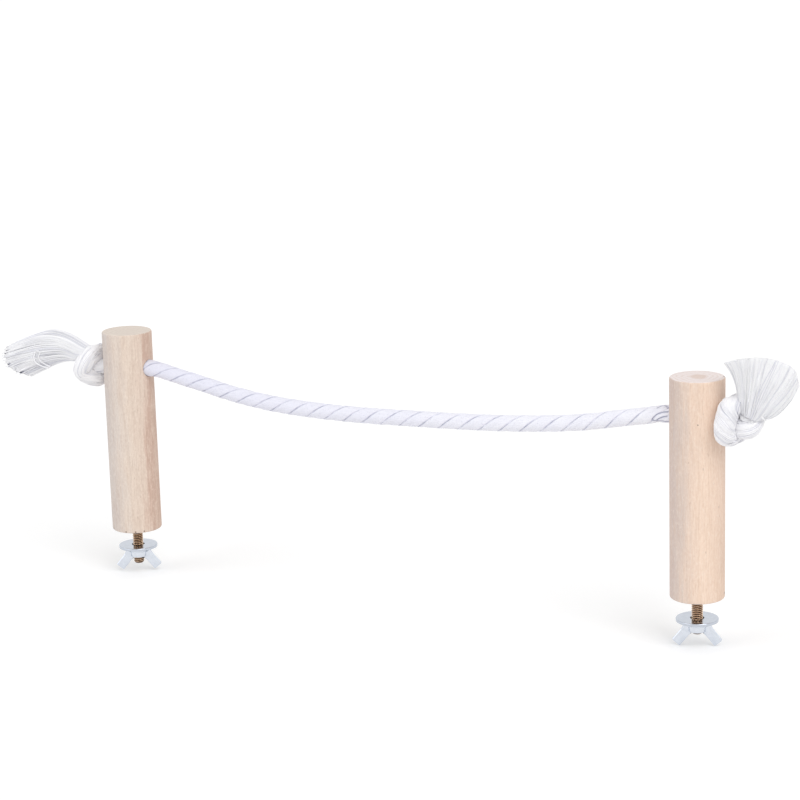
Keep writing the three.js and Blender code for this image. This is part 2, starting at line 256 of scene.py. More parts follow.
def ring_quads(count, rings, spokes):
    """The quads between neighbouring rings of tubes whose points lie in one array."""
    tube, ring, spoke = np.meshgrid(np.arange(count), np.arange(rings - 1), np.arange(spokes),
                                    indexing="ij")
    near = (tube * rings + ring) * spokes
    following = (spoke + 1) % spokes
    corners = [near + spoke, near + following, near + spokes + following, near + spokes + spoke]
    return np.stack(corners, -1).reshape(-1, 4).tolist()


def tubes(name, grid, lengths, painted_shade_and_tone=None):
    """Closed tubes from an array of tube, ring, spoke and point. Each end closes on the middle of
    its ring. The UV map holds the length along a tube in millimetres and the share of a turn."""
    count, rings, spokes, _ = grid.shape
    tube, spoke = np.arange(count)[:, None], np.arange(spokes)
    near, far, turn, next_turn = (np.broadcast_to(part, (count, rings - 1, spokes)) for part in (
        lengths[:, :-1, None], lengths[:, 1:, None], spoke / spokes, (spoke + 1) / spokes))
    uv = [np.stack([near, turn, near, next_turn, far, next_turn, far, turn], -1)]
    faces = ring_quads(count, rings, spokes)
    points = [grid.reshape(-1, 3), grid[:, 0].mean(axis=1), grid[:, -1].mean(axis=1)]
    for end, order in ((0, (1, 0)), (1, (0, 1))):
        ring = (tube * rings + end * (rings - 1)) * spokes
        middle = (rings * spokes + end) * count + tube
        fan = np.broadcast_arrays(middle, *(ring + (spoke + step) % spokes for step in order))
        faces += np.stack(fan, -1).reshape(-1, 3).tolist()
        reached = lengths[:, -end, None]
        middle, first, second = ((spoke + step) / spokes for step in (0.5, *order))
        corners = np.broadcast_arrays(reached, middle, reached, first, reached, second)
        uv.append(np.stack(corners, -1))
    if painted_shade_and_tone is not None:
        painted_shade_and_tone = np.concatenate([painted_shade_and_tone.reshape(-1), np.zeros(2 * count)])
    uv = np.concatenate([part.ravel() for part in uv])
    return finish_mesh(name, np.concatenate(points), faces, uv, painted_shade_and_tone)


def turned(name, profile, spokes, x, z, repeat_profile=False):
    """A solid of revolution: each (radius, height) point of the profile goes round the axis at x,
    lifted by z. An end on the axis closes on one point, a repeating profile closes on itself."""
    radius, height = np.asarray(profile, float).T
    angle = 2 * np.pi * np.arange(spokes) / spokes
    grid = np.stack([x + radius[:, None] * np.cos(angle), radius[:, None] * np.sin(angle),
                     z + np.broadcast_to(height[:, None], (len(radius), spokes))], -1)
    if repeat_profile:
        grid = np.concatenate([grid, grid[:1]])
    piece = finish_mesh(name, grid.reshape(-1, 3), ring_quads(1, len(grid), spokes))
    merge_doubles(piece)
    return piece


def drill(name, radius, low, high, spokes, x, z):
    """A plain round bar round the axis at x, from one height to another, both above z."""
    return turned(name, [(0, low), (radius, low), (radius, high), (0, high)], spokes, x, z)


def merge_doubles(piece):
    """Welds points less than two thousandths of a millimetre apart, and drops empty faces."""
    shell = bmesh.new()
    shell.from_mesh(piece.data)
    bmesh.ops.remove_doubles(shell, verts=shell.verts, dist=0.002 * MM)
    bmesh.ops.dissolve_degenerate(shell, edges=shell.edges, dist=1e-8)
    bmesh.ops.recalc_face_normals(shell, faces=shell.faces)
    shell.to_mesh(piece.data)
    shell.free()
    shade_smooth(piece)


def combine(piece, operation, other):
    """Welds another solid to the piece or cuts it out, once the modifiers are applied."""
    step = piece.modifiers.new("combine", "BOOLEAN")
    step.operation = operation
    step.solver = "EXACT"
    step.object = other


def apply_modifiers(piece, *used):
    """Replaces the piece's mesh by what its modifiers make of it, and removes what they used."""
    bpy.context.view_layer.update()
    graph = bpy.context.evaluated_depsgraph_get()
    made = bpy.data.meshes.new_from_object(piece.evaluated_get(graph))
    piece.modifiers.clear()
    piece.data = made
    for other in used:
        bpy.data.objects.remove(other)
    shade_smooth(piece)


def corner_arc(radius, height, edge, start, end, steps=8):
    """A quarter round in a profile: the points at one edge radius from a centre, between two
    angles in degrees."""
    angle = np.radians(np.linspace(start, end, steps))
    return list(zip(radius + edge * np.cos(angle), height + edge * np.sin(angle)))


# ---- Routes and the frames along them ----

def smooth_route(points, step):
    """Evenly spaced points on a curve through the given ones. Between two neighbours it is a cubic
    whose end slopes weigh the chords on either side by the square roots of their lengths."""
    p = np.asarray(points, float)
    p = np.vstack([2 * p[0] - p[1], p, 2 * p[-1] - p[-2]])
    chord = np.sqrt(np.linalg.norm(np.diff(p, axis=0), axis=1))
    before, here, after = chord[:-2, None], chord[1:-1, None], chord[2:, None]
    a, b, c, d = p[:-3], p[1:-2], p[2:-1], p[3:]
    leave = ((b - a) / before - (c - a) / (before + here) + (c - b) / here) * here
    arrive = ((c - b) / here - (d - b) / (here + after) + (d - c) / after) * here
    t = np.linspace(0, 1, 41)[:-1, None, None]
    cubic = (b * (2 * t**3 - 3 * t**2 + 1) + leave * (t**3 - 2 * t**2 + t)
             + c * (3 * t**2 - 2 * t**3) + arrive * (t**3 - t**2))
    dense = np.vstack([cubic.transpose(1, 0, 2).reshape(-1, 3), p[-2:-1]])
    length = np.concatenate([[0], np.cumsum(np.linalg.norm(np.diff(dense, axis=0), axis=1))])
    even = np.linspace(0, length[-1], max(2, round(length[-1] / step) + 1))
    return np.stack([np.interp(even, length, dense[:, axis]) for axis in range(3)], -1), even


def unit(vectors):
    return vectors / np.linalg.norm(vectors, axis=-1)[..., None]


def steady_frames(route):
    """Two unit vectors across a route that turn no more than its bends make them. The first
    starts upwards, and each is the last one with its part along the new direction taken out."""
    along = unit(np.gradient(route, axis=0))
    normals = np.empty_like(route)
    normal = np.array([0.0, 0.0, 1.0])
    for index, direction in enumerate(along):
        normal = unit(normal - direction * (normal @ direction))
        normals[index] = normal
    return normals, np.cross(along, normals)


def smoothstep(share):
    share = np.clip(share, 0, 1)
    return share * share * (3 - 2 * share)


def between(table, share):
    """Values at a share of the way along a table's first axis, on cubics through its rows whose
    slopes are half the difference of the neighbours."""
    place = np.clip(share, 0, 1) * (len(table) - 1)
    first = np.minimum(place.astype(int), len(table) - 2)
    t = (place - first)[..., None]
    ends = np.concatenate([2 * table[:1] - table[1:2], table, 2 * table[-1:] - table[-2:-1]])
    a, b, c, d = (np.take_along_axis(ends, (first + k)[None, ..., None], axis=0)[0]
                  for k in range(4))
    return b + 0.5 * t * (c - a + t * (2 * a - 5 * b + 4 * c - d + t * (3 * (b - c) + d - a)))


def lobes(turns, count):
    """A row of rounded lobes with sharp valleys: 0 at a lobe's top and 1 in a valley, for a
    number of lobes in each turn."""
    return 1 - np.abs(np.cos(np.pi * count * turns))


def yarn_valleys(turns, count, strength):
    """Such a row whose valleys each have a strength of their own."""
    return lobes(turns, count) * strength[np.floor(turns * count).astype(int) % count]


# ---- The laid rope ----

def rope_points():
    """Straight through the left hole, down the sag and up again, and straight through the right
    hole. The height is the hole's, less a share of the sag."""
    left, right = POST_X["left"], POST_X["right"]
    end = POST_RADIUS - KNOT_TUCK
    flat = ([(left - end, 0), (left, 0)]
            + [(left + POST_RADIUS + x, share) for x, share in SAG_FROM_LEFT]
            + [(right - POST_RADIUS - x, share) for x, share in SAG_FROM_RIGHT]
            + [(right, 0), (right + end, 0)])
    return [(x, 0.0, ROPE_HEIGHT - share * ROPE_SAG) for x, share in flat]


def wound_tube(route, normal, other, phase, radius, spokes):
    """A tube whose spokes wind with the lay. A point is the route's point plus its radius at the
    spoke's share of a turn and the phase that the lay has reached there."""
    angle = 2 * np.pi * (np.arange(spokes)[None, :] / spokes + phase[:, None])
    return (route[:, None, :] + (radius * np.cos(angle))[..., None] * normal[:, None, :]
            + (radius * np.sin(angle))[..., None] * other[:, None, :])


def seams(turns, count, width):
    """1 in the middle of each narrow seam between strands, and 0 past a few seam widths, which
    are shares of a strand."""
    beside = np.mod(turns * count + 0.5, 1) - 0.5
    return np.exp(-(beside / width) ** 2)


def laid_rope():
    """Three strands wound left-handed and packed almost round. The radius is the rope's, less a
    shallow fall towards each seam, a narrow furrow in it and the yarns' faint ridges. The lay
    opens steadily from left to right, and the rope swells a little where it leaves each post. The
    seams and the edges of the loosened strands take painted shade."""
    route, length = smooth_route(rope_points(), 0.6)
    up, side = steady_frames(route)
    share = length / length[-1]
    lay = LAY_LENGTH["left"] + (LAY_LENGTH["right"] - LAY_LENGTH["left"]) * share
    phase = -np.cumsum(np.diff(length, prepend=0) / lay)
    turns = np.arange(ROPE_SPOKES)[None, :] / ROPE_SPOKES
    uneven = 1 + 0.010 * np.sin(length * 0.37 + 1.0) + 0.006 * np.sin(length * 1.13)
    mouth = np.minimum(np.abs(route[:, 0] - POST_X["left"] - POST_RADIUS - 1.0),
                       np.abs(route[:, 0] - POST_X["right"] + POST_RADIUS + 1.0))
    swell = 0.42 * (1 - smoothstep(mouth / 6))
    seam = seams(turns, STRANDS, 0.05)
    away = (POST_X["right"] - POST_RADIUS - route[:, 0])[:, None]
    edge = loose_edges(away, turns + phase[:, None])
    radius = (ROPE_RADIUS * uneven + swell)[:, None]
    radius = radius - 0.20 * lobes(turns, STRANDS) ** 2 - 0.42 * seam
    radius = radius - 0.05 * lobes(turns - 0.6 * length[:, None] / 31, 27) - 0.30 * edge
    grid = wound_tube(route, up, side, phase, radius, ROPE_SPOKES)
    # Painted shade: the seams darken, stronger and weaker along the rope and fading out near the
    # right post, and painted shadow lines follow the loosened strands' edges.
    fade = 0.58 + 0.27 * np.sin(length * 0.41 + 2) + 0.15 * np.sin(length * 1.7)
    painted_shade_and_tone = np.maximum(seam * fade[:, None] * smoothstep((away - 5.0) / 6.0), 1.35 * edge)
    return tubes("laid_rope", grid[None], length[None], painted_shade_and_tone), route


def loose_edges(away, turns):
    """1 on the edges of the loosened strands and 0 past half a millimetre beside them. The
    distance is taken over the skin unrolled flat, with the front's middle at zero."""
    beyond = np.mod(0.209 - turns + 0.5, 1) - 0.5
    around = beyond * 2 * np.pi * ROPE_RADIUS
    close = np.flatnonzero((away[:, 0] > -3) & (away[:, 0] < 12))
    nearest = np.full(around.shape, 99.0)
    for line in LOOSE_EDGES:
        places = np.asarray(line, float)
        at = np.linspace(0, len(places) - 1, 60)
        out, up = (np.interp(at, np.arange(len(places)), places[:, axis]) for axis in (0, 1))
        gap = np.hypot(away[close][..., None] - out, around[close][..., None] - up).min(axis=-1)
        nearest[close] = np.minimum(nearest[close], gap)
    return np.exp(-(nearest / 0.30) ** 2)


# ---- The knots ----

def keep_off(side, places, gap):
    """Moves places that come nearer to the post's outer face than the gap out to that distance."""
    out = np.maximum(OUTWARD[side] * (places[..., 0] - POST_X[side]), POST_RADIUS + gap)
    places[..., 0] = POST_X[side] + OUTWARD[side] * out


def knot(side):
    """A plump tube along the knot's route, whose radius follows the route's own. It falls towards
    three seams and forty yarn valleys of uneven depth, which turn with the given winding.
    Where it would reach the post's face it is pressed flat."""
    points = np.asarray(KNOT_ROUTE[side], float)
    place = np.array([POST_X[side] + OUTWARD[side] * POST_RADIUS, 0, ROPE_HEIGHT])
    mirror = np.array([OUTWARD[side], 1, 1])
    route, length = smooth_route(place + points[:, :3] * mirror, 0.4)
    chords = np.linalg.norm(np.diff(points[:, :3], axis=0), axis=1)
    reached = np.concatenate([[0], np.cumsum(chords)]) / chords.sum()
    full = np.interp(length / length[-1], reached, points[:, 3])[:, None]
    phase = np.interp(length / length[-1], *np.asarray(KNOT_WIND[side], float).T)
    normal, other = steady_frames(route)
    rng = np.random.default_rng(3 if side == "left" else 4)
    turns = np.arange(KNOT_SPOKES)[None, :] / KNOT_SPOKES
    along = length[:, None]
    grow = smoothstep((along - 2.0) / 6.0)
    drift = 0.014 * np.sin(along * 0.45) * np.sin(2 * np.pi * 4 * turns)
    strength = 0.3 + 0.7 * rng.random(KNOT_YARNS)
    valley = yarn_valleys(np.mod(turns + drift, 1), KNOT_YARNS, strength) * grow
    seam = seams(turns, STRANDS, 0.07)
    radius = full - 0.30 * lobes(turns, STRANDS) ** 2 - 0.30 * seam - 0.40 * valley
    radius = radius + 0.10 * grow * np.sin(along * 0.55 + 2 * np.pi * turns)
    grid = wound_tube(route, normal, other, phase, radius, KNOT_SPOKES)
    keep_off(side, grid[np.searchsorted(length, 6.0):], SEAT_GAP)
    # Painted shade in the yarn valleys and along the seams, stronger and weaker along the knot.
    fade = 0.6 + 0.4 * np.sin(along * 0.3 + 2 * np.pi * STRANDS * turns)
    painted_shade_and_tone = np.maximum(0.85 * valley ** 1.7, 0.45 * seam * grow) * fade
    piece = tubes(f"{side}_overhand_knot", grid[None], length[None], painted_shade_and_tone)
    return piece, route[-1], knot_strays(side, route, grid)


def knot_strays(side, route, grid):
    """Single yarns that stand a little proud of the knot. Each follows the skin over a short
    stretch, drifts slowly to one side, and rises from the skin and back on half a sine."""
    rng = np.random.default_rng(31 if side == "left" else 37)
    count = STRAY_YARNS[side]
    rings, spokes, _ = grid.shape
    reach = rng.integers(14, 34, (count, 1))
    first = rng.integers(30, rings - 40, (count, 1))
    step = np.linspace(0, 1, 20)[None, :]
    ring = (first + step * reach).round().astype(int)
    drift = rng.uniform(-5, 5, (count, 1)) * step
    spoke = (rng.integers(0, spokes, (count, 1)) + drift).round().astype(int) % spokes
    skin = grid[ring, spoke]
    line = skin + unit(skin - route[ring]) * (0.05 + 0.30 * np.sin(np.pi * step))[..., None]
    line[:, 1:-1] = (line[:, :-2] + line[:, 1:-1] + line[:, 2:]) / 3
    keep_off(side, line, 2 * SEAT_GAP)
    thickness = 0.22 * rng.uniform(0.8, 1.1, (count, 1)) * (1 - 0.5 * (2 * step - 1) ** 6)
    return yarns(f"{side}_stray_knot_yarns", line, thickness, 0.6 * rng.random(count) ** 2)


# ---- The tassels ----

def from_root(side, root, ahead, near, up):
    """Places at distances ahead of a tassel's root, towards the front and up."""
    return (root + ahead[..., None] * np.array(TASSEL_AHEAD[side])
            + near[..., None] * np.array(TASSEL_NEAR[side]) + up[..., None] * np.array([0, 0, 1]))


def tassel_place(side, root, share, u, v):
    """The place of an oval's point (u, v) at a share of the length. The net of given places
    gives ahead and up for u, and v times the half depth gives the distance towards the front."""
    net = [np.asarray(row, float) for row in TASSEL_NET[side]]
    across = [np.broadcast_to(row[:, None, None, :], (len(row), *u.shape, 2)) for row in net]
    rows = np.stack([between(row, (u + 1) / 2) for row in across])
    ahead, up = np.moveaxis(between(rows, share), -1, 0)
    start, end = TASSEL_DEPTH[side]
    lean, lean_end = TASSEL_LEAN[side]
    near = (v * (start + (end - start) * np.sqrt(np.clip(share, 0, 1)))
            + lean + (lean_end - lean) * share)
    return from_root(side, root, ahead, near, up)


def oval_angles(side, count):
    """Angles round the tassel's oval at even steps of its outline, three times as wide as deep."""
    dense = np.linspace(0, 2 * np.pi, 2001)
    speed = np.hypot(3 * np.sin(dense), np.cos(dense))
    outline = np.concatenate([[0], np.cumsum((speed[1:] + speed[:-1]) / 2)])
    return np.interp(np.arange(count) / count * outline[-1], outline, dense)


def tassel_reach(side, v):
    """The share of the net's length at which a yarn ends, from its place in the oval's depth."""
    slant = TASSEL_SLANT[side]
    return 0.985 - slant + slant * v - 0.02 * v ** 2


def tassel_bundle(side, root):
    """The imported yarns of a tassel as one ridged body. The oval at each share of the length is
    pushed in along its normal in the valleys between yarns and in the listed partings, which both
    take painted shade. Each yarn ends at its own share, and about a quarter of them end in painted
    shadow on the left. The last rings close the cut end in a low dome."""
    rng = np.random.default_rng(5 if side == "left" else 7)
    count = TASSEL_RIDGES[side]
    spokes = count * RIDGE_SPOKES
    turn = np.arange(spokes) / spokes
    angle = oval_angles(side, spokes)
    u, v = np.cos(angle), np.sin(angle)
    yarn = np.floor(turn * count + 0.5).astype(int) % count
    clump = np.repeat(rng.random(count // 4), 4)
    ragged = TASSEL_RAGGED[side] * (0.6 * rng.random(count) + 0.4 * clump)[yarn]
    reach = tassel_reach(side, v) - ragged
    share = np.linspace(0, 1, BUNDLE_RINGS)[:, None] * reach[None, :]
    close = np.array(DOME_SCALES)[:, None]
    dome = close * reach + (1 - close) * reach.mean() + 0.010 * (1 - close ** 2)
    share = np.concatenate([share, dome])
    scale = np.concatenate([np.ones((BUNDLE_RINGS, 1)), close])
    grid = tassel_place(side, root, share, scale * u, scale * v)
    around = np.roll(grid, -1, axis=1) - np.roll(grid, 1, axis=1)
    normal = unit(np.cross(around, np.gradient(grid, axis=0)))
    strength = 0.2 + 0.8 * rng.random(count) ** TASSEL_LINE_RARITY[side]
    wave = 0.65 + 0.35 * np.sin(2 * np.pi * (share * rng.uniform(0.5, 1.6, count)[yarn]
                                             + rng.random(count)[yarn]))
    valley = yarn_valleys(turn[None, :], count, strength) * wave
    # Painted shade in the valleys between yarns, fading in from the root; the partings add more.
    painted_shade_and_tone = TASSEL_LINE_SHADE[side] * valley ** 1.5 * smoothstep(share * 5 - 0.3)
    pushed = 0.65 * valley
    for across, first, last, width, depth, dark in TASSEL_PARTINGS[side]:
        inside = (np.exp(-((u - across) / width) ** 2) * np.clip(4 * v, 0, 1)
                  * smoothstep((share - first) * 9) * smoothstep((last - share) * 9))
        pushed = pushed + depth * inside
        painted_shade_and_tone = np.maximum(painted_shade_and_tone, dark * inside)
    grid = grid - normal * (pushed * scale * np.minimum(1, 0.35 + share * 2))[..., None]
    along = share / reach[None, :]
    painted_shade_and_tone = painted_shade_and_tone * smoothstep((1 - along) * TASSEL_TIP_FADE[side])
    # Painted shadow between the tips, on about a quarter of the yarns.
    shaded_tips = (rng.random(count) > 0.74)[yarn]
    tip = smoothstep((along - 0.96) * 30) * scale ** 3 * shaded_tips
    painted_shade_and_tone = np.maximum(painted_shade_and_tone, TASSEL_TIP_SHADE[side] * tip)
    length = BUNDLE_LENGTH * share[:, 0]
    return tubes(f"{side}_tassel_bundle", grid[None], length[None], painted_shade_and_tone)


def tassel_yarns(side, root):
    """Loose yarns over the bundle's skin, each with a slow wave that grows towards its tip and a
    tone of its own, and a thicker single yarn. On the left that one is a loop in front, and on the
    right it lies over the tassel's foot."""
    rng = np.random.default_rng(11 if side == "left" else 23)
    count, rows = LOOSE_YARNS, 24
    angle = oval_angles(side, count)[:, None] + 0.02 * rng.standard_normal((count, 1))
    reach = tassel_reach(side, np.sin(angle))
    reach = reach - TASSEL_RAGGED[side] * (rng.random((count, 1)) * 1.5 - 0.5)
    share = np.linspace(0.12, 1, rows)[None, :] * reach
    slow = np.sin(2 * np.pi * (share * rng.uniform(0.5, 1.3, (count, 1)) + rng.random((count, 1))))
    wave = 0.08 * slow * share * rng.random((count, 1))
    u = np.clip(np.cos(angle) + wave * np.abs(np.sin(angle)), -1, 1)
    v = np.sin(angle) * (1.0 + 0.02 * rng.random((count, 1)))
    lines = tassel_place(side, root, share, u, v)
    thickness = YARN_RADIUS * rng.uniform(0.75, 1.15, (count, 1))
    thickness = thickness * (1 - 0.5 * smoothstep((share / reach - 0.95) * 20))
    single, _ = smooth_route(from_root(side, root, *np.array(SINGLE_YARN[side]).T), 0.1)
    at = np.linspace(0, len(single) - 1, rows).round().astype(int)
    lines = np.concatenate([lines, single[at][None]])
    thickness = np.concatenate([thickness, np.full((1, rows), SINGLE_YARN_RADIUS)])
    tone = np.append(0.40 * rng.random(count) ** 2.5, 0)
    return yarns(f"{side}_tassel_yarns", lines, thickness, tone)


def yarns(name, line, thickness, tone, spokes=5):
    """Thin round tubes along many lines at once: each ring lies across the line's own direction,
    at its thickness from the line. A yarn's tone is how grey it is, from 0 to 1."""
    along = unit(np.gradient(line, axis=1))
    helper = np.where(np.abs(along[..., 1:2]) < 0.8, [0.0, 1.0, 0.0], [1.0, 0.0, 0.0])
    normal = unit(np.cross(along, helper))
    other = np.cross(along, normal)
    angle = 2 * np.pi * np.arange(spokes) / spokes
    ring = (np.cos(angle)[:, None] * normal[:, :, None, :]
            + np.sin(angle)[:, None] * other[:, :, None, :])
    grid = line[:, :, None, :] + thickness[:, :, None, None] * ring
    step = np.linalg.norm(np.diff(line, axis=1), axis=-1)
    lengths = np.concatenate([np.zeros((len(line), 1)), np.cumsum(step, axis=1)], axis=1)
    return tubes(name, grid, lengths, np.broadcast_to(tone[:, None, None], grid.shape[:3]))


# ---- The posts ----

def post(side):
    """A turned peg from a profile with rounded rims, bored across for the rope and up its foot for
    the bolt."""
    rim = POST_RADIUS - POST_RIM
    levels = np.linspace(POST_RIM, POST_HEIGHT - POST_RIM, 58)[1:-1]
    rings = np.linspace(0, rim, 9)[:-1]
    profile = ([(r, 0) for r in rings] + corner_arc(rim, POST_RIM, POST_RIM, -90, 0)
               + [(POST_RADIUS, z) for z in levels]
               + corner_arc(rim, POST_HEIGHT - POST_RIM, POST_RIM, 0, 90)
               + [(r, POST_HEIGHT) for r in rings[::-1]])
    piece = turned(f"{side}_wooden_post", profile, 128, POST_X[side], 0)
    cross = drill("cross_bore", HOLE_RADIUS, -30, 30, 72, 0, 0)
    cross.data.transform(Matrix.Rotation(math.pi / 2, 4, "Y"))
    cross.data.transform(Matrix.Translation((POST_X[side] * MM, 0, ROPE_HEIGHT * MM)))
    pilot_depth = BOLT_LENGTH - BOLT_REACH[side] + SEAT_GAP
    pilot = drill("pilot_bore", PILOT_RADIUS, -5, pilot_depth, 48, POST_X[side], 0)
    combine(piece, "DIFFERENCE", cross)
    combine(piece, "DIFFERENCE", pilot)
    apply_modifiers(piece, cross, pilot)
    piece.data.set_sharp_from_angle(angle=math.radians(38))
    return piece


# ---- The clamps ----

def hanger_bolt(side):
    """A stud whose radius follows its threads: a fine machine thread below the foot, a plain
    shank, and a coarse wood thread that tapers to a point. A thread's height depends on the
    height in pitches less the turns round the bolt, so it climbs right-handed."""
    spokes = 48
    heights = np.concatenate([np.arange(0, 25, 1 / 11), np.arange(25, BOLT_LENGTH, 1 / 6),
                              [BOLT_LENGTH]])
    turns = np.arange(spokes)[None, :] / spokes
    height = heights[:, None]
    fine = np.abs(2 * np.mod(height - turns, 1) - 1)
    fine_depth = FINE_DEPTH * np.clip((fine - 0.12) / 0.76, 0, 1) * (height < FINE_END)
    coarse = np.abs(2 * np.mod(height / COARSE_PITCH - turns, 1) - 1)
    coarse_depth = COARSE_DEPTH * smoothstep((1 - coarse) / 0.35 - 0.25) * (height > COARSE_START)
    radius = BOLT_RADIUS - fine_depth - coarse_depth
    chamfer = BOLT_RADIUS - BOLT_CHAMFER + height
    point = (BOLT_LENGTH - height) / POINT_LENGTH * BOLT_RADIUS
    radius = np.minimum(np.minimum(radius, chamfer), np.maximum(point, 0.01))
    angle = 2 * np.pi * turns
    grid = np.stack([POST_X[side] + radius * np.cos(angle), radius * np.sin(angle),
                     np.broadcast_to(height - BOLT_REACH[side], radius.shape)], -1)
    # Painted shade in the thread valleys and on the lowest millimetre at the bolt's cut end.
    shaded_end = 0.7 * (height < 1.0)
    painted_shade_and_tone = np.maximum(np.clip(fine_depth / FINE_DEPTH + coarse_depth, 0, 1), shaded_end)
    piece = tubes(f"{side}_threaded_bolt", grid[None], heights[None], painted_shade_and_tone)
    piece.data.set_sharp_from_angle(angle=math.radians(50))
    return piece


def washer(side):
    """A stamped ring: rolled over at its top rims and sheared almost square below."""
    rim = WASHER_RADIUS
    profile = (
        [(WASHER_HOLE, -WASHER_THICKNESS + 0.1), (WASHER_HOLE + 0.08, -WASHER_THICKNESS)]
        + [(r, -WASHER_THICKNESS) for r in np.linspace(WASHER_HOLE + 0.5, rim - 0.5, 8)]
        + corner_arc(rim - 0.12, -WASHER_THICKNESS + 0.12, 0.12, -90, 0, 4)
        + corner_arc(rim - 0.4, -0.4, 0.4, 0, 90)
        + [(r, 0.0) for r in np.linspace(rim - 0.8, WASHER_HOLE + 0.8, 8)]
        + corner_arc(WASHER_HOLE + 0.3, -0.3, 0.3, 90, 180)
    )
    piece = turned(f"{side}_flat_washer", profile, 160, POST_X[side], WASHER_TOP[side], True)
    # Painted shade inside the washer's hole.
    mark_bore(piece, POST_X[side], WASHER_HOLE + 0.15)
    return piece


def mark_bore(piece, x, radius):
    """Marks the points nearer to the vertical axis at x than the radius for painted shade inside
    the bore.
    """
    place = np.empty(len(piece.data.vertices) * 3, np.float32)
    piece.data.vertices.foreach_get("co", place)
    place = place.reshape(-1, 3) / MM
    mark_painted_shade_and_tone(piece.data, np.hypot(place[:, 0] - x, place[:, 1]) < radius)


def wing(side, turn):
    """One wing: rounded rectangles carried down and out along its slope. The half width falls from
    a flared root to the blade's, and follows a small quarter circle into each corner of the tip."""
    quarter = np.linspace(0.08, 1, 8) * np.pi / 2
    along = np.concatenate([np.linspace(0, WING_STRAIGHT, 26),
                            WING_STRAIGHT + WING_CORNER * np.sin(quarter)])
    flare = 0.5 * smoothstep(1 - along / 4.0)
    corner = np.clip((along - WING_STRAIGHT) / WING_CORNER, 0, 1)
    half_width = 2.65 + flare - WING_CORNER * (1 - np.sqrt(1 - corner ** 2 + 1e-9))
    half_thickness = 1.0 + 0.35 * smoothstep(1 - along / 3.0) - 0.25 * corner ** 3
    angle = 2 * np.pi * np.arange(56) / 56
    squarish = 2 / 5.5
    wide = np.sign(np.cos(angle)) * np.abs(np.cos(angle)) ** squarish
    thick = np.sign(np.sin(angle)) * np.abs(np.sin(angle)) ** squarish
    slope = math.radians(WING_SLOPE)
    root_x, root_z = WING_ROOT
    x = (root_x + along[:, None] * math.cos(slope)
         + half_width[:, None] * wide * math.sin(slope))
    z = (root_z - along[:, None] * math.sin(slope)
         + half_width[:, None] * wide * math.cos(slope))
    y = half_thickness[:, None] * thick[None, :]
    c, s = math.cos(turn), math.sin(turn)
    return np.stack([POST_X[side] + x * c - y * s, x * s + y * c, NUT_TOP[side] + z], -1)


def wing_nut(side):
    """A cast nut: a tapered boss with a step under its seat and two wings, welded into one skin,
    bored through and softened, so that the wings' roots run into the boss in small fillets."""
    x, top = POST_X[side], NUT_TOP[side]
    boss = turned(f"{side}_cast_wing_nut", BOSS_PROFILE, 72, x, top, True)
    turn = math.radians(NUT_TURN[side])
    grids = np.stack([wing(side, turn), wing(side, turn + math.pi)])
    rings = grids.shape[1]
    blades = tubes("blades", grids, np.broadcast_to(np.arange(float(rings)), (2, rings)))
    merge_doubles(blades)
    bore = drill("bore", NUT_BORE, -14, 2, 72, x, top)
    combine(boss, "UNION", blades)
    combine(boss, "DIFFERENCE", bore)
    skin = boss.modifiers.new("skin", "REMESH")
    skin.mode = "VOXEL"
    skin.voxel_size = 0.16 * MM
    soften = boss.modifiers.new("soften", "SMOOTH")
    soften.factor = 0.5
    soften.iterations = 5
    apply_modifiers(boss, blades, bore)
    # Painted shade inside the nut's bore.
    mark_bore(boss, x, NUT_BORE + 0.3)
    return boss


# ---- Finishes ----

def feed(node, sockets):
    """Gives each named or numbered input of a node a value or a link."""
    for key, value in sockets.items():
        if isinstance(value, bpy.types.NodeSocket):
            node.id_data.links.new(value, node.inputs[key])
        else:
            node.inputs[key].default_value = value


def wire(tree, kind, sockets=None, **settings):
    """Adds a node, sets its options and feeds its inputs."""
    node = tree.nodes.new(kind)
    for key, value in settings.items():
        setattr(node, key, value)
    feed(node, sockets or {})
    return node


def after(kind, sockets, **settings):
    """Adds a node to the tree that its linked inputs come from."""
    linked = [value for value in sockets.values() if isinstance(value, bpy.types.NodeSocket)]
    return wire(linked[0].id_data, kind, sockets, **settings)


def srgb(red, green, blue):
    """A colour on the 0 to 255 scale as the linear light that a shader takes."""
    part = np.array([red, green, blue]) / 255
    linear = np.where(part <= 0.04045, part / 12.92, ((part + 0.055) / 1.055) ** 2.4)
    return (*linear.tolist(), 1.0)


def start_material(name):
    material = bpy.data.materials.new(name)
    material.use_nodes = True
    return material, material.node_tree, material.node_tree.nodes["Principled BSDF"]


def mix(share, first, second):
    return after("ShaderNodeMix", {0: share, 6: first, 7: second}, data_type="RGBA").outputs[2]


def maths(operation, *values, clamp=False):
    return after("ShaderNodeMath", dict(enumerate(values)), operation=operation,
                 use_clamp=clamp).outputs[0]


def vectors(operation, *values):
    node = after("ShaderNodeVectorMath", dict(enumerate(values)), operation=operation)
    return node.outputs["Value" if operation in ("LENGTH", "DOT_PRODUCT", "DISTANCE") else 0]


def overlay(colour, mask, strength, tone):
    """The colour with a tone laid over it where the mask is, at that strength."""
    return mix(maths("MULTIPLY", mask, strength), colour, tone)


def sway(value, amount):
    """A value from 0 to 1 moved to lie round zero, times an amount."""
    return maths("MULTIPLY", maths("SUBTRACT", value, 0.5), amount)


def ramp(value, low, high):
    """How far a value has come from low to high, from 0 to 1."""
    return after("ShaderNodeMapRange", {0: value, 1: low, 2: high}, clamp=True).outputs[0]


def noise(vector, scale, detail=3.0, roughness=0.55, drawn=None):
    """Noise from 0 to 1 at a place, which a factor for each direction may first draw out."""
    if drawn:
        vector = vectors("MULTIPLY", vector, drawn)
    return after("ShaderNodeTexNoise", {"Vector": vector, "Scale": scale, "Detail": detail,
                                        "Roughness": roughness}).outputs["Fac"]


